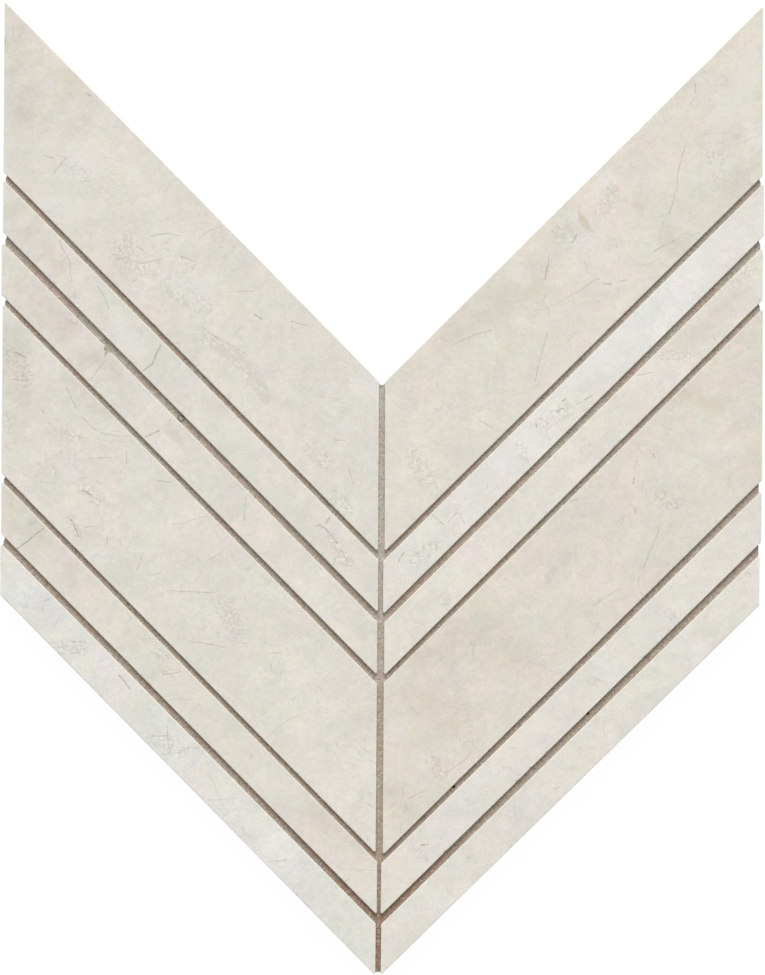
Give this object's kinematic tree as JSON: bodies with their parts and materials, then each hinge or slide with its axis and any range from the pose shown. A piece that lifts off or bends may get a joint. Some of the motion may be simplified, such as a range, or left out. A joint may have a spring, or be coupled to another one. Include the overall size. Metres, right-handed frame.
{
  "type": "chevron wall tile",
  "caption": "Mosaic wall tile sheet of mitred cream marble strips in mirrored columns, laid as nested Vs, with recessed sandy grout between them and a net on the back.",
  "frame": {"origin": "middle of the sheet's outline, on its lowest plane, which is the back of the net", "axes": "+Z out of the polished face, +Y towards the open end of the Vs, +X to the right seen from the polished side"},
  "size_m": [0.3053, 0.3881, 0.01],
  "materials": {
    "marble": "honed cream marble with soft cloudy patches and hairline veins",
    "grout": "sandy grey-brown cement grout, matt and grainy",
    "net": "white glass-fibre net with clear glue"
  },
  "bodies": {
    "root": {"left_stone_1": "marble", "left_stone_2": "marble", "left_stone_3": "marble", "left_stone_4": "marble", "left_stone_5": "marble", "left_stone_6": "marble", "right_stone_1": "marble", "right_stone_2": "marble", "right_stone_3": "marble", "right_stone_4": "marble", "right_stone_5": "marble", "right_stone_6": "marble", "grout": "grout", "backing_net": "net"}
  },
  "joints": []
}
